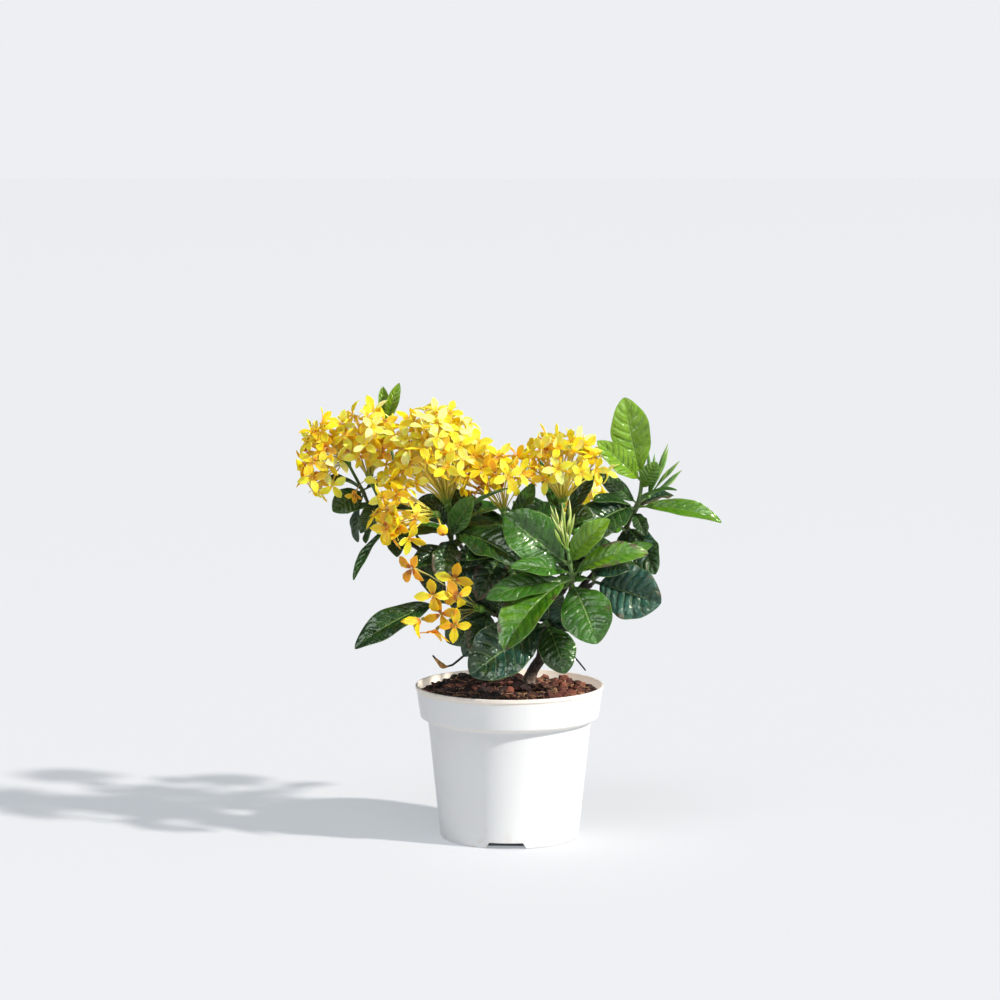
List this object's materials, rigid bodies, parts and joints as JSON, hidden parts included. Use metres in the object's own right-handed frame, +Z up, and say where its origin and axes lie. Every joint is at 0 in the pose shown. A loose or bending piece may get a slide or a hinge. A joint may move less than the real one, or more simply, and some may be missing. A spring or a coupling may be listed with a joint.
{
  "type": "potted ixora",
  "caption": "Free-standing flowering house plant: bushy leafy shoots with dense yellow flower heads on a woody trunk, in a round plastic nursery pot filled with soil.",
  "frame": {"origin": "middle of the pot's underside, on the surface it stands on", "axes": "+Z up along the pot's axis; the flowering front faces -Y; +X to the right as seen from the front"},
  "size_m": [0.3354, 0.2069, 0.3612],
  "materials": {
    "pot_plastic": "white satin polypropylene",
    "soil": "dark reddish brown coir and soil, crumbly",
    "bark": "rough brown bark",
    "leaf": "glossy green leaf, light green when young",
    "petal": "soft satin yellow petal",
    "bud": "satin light green bud"
  },
  "bodies": {
    "root": {"pot": "pot_plastic", "soil": "soil", "trunk": "bark", "shoot_far_left": "leaf", "shoot_left": "leaf", "shoot_young": "leaf", "shoot_main": "leaf", "shoot_centre": "leaf", "shoot_right": "leaf", "shoot_far_right": "leaf", "shoot_low_right": "leaf", "shoot_front": "leaf", "shoot_low_front": "leaf", "shoot_low_left": "leaf", "shoot_low_far_left": "leaf", "shoot_back_left": "leaf", "shoot_back": "leaf", "shoot_back_right": "leaf", "buds_far_right": "bud", "buds_front": "bud", "head_far_left": "petal", "head_left": "petal", "head_main": "petal", "head_front_left": "petal", "head_centre": "petal", "head_right": "petal", "head_low": "petal", "head_back_left": "petal", "head_back_right": "petal"}
  },
  "joints": []
}
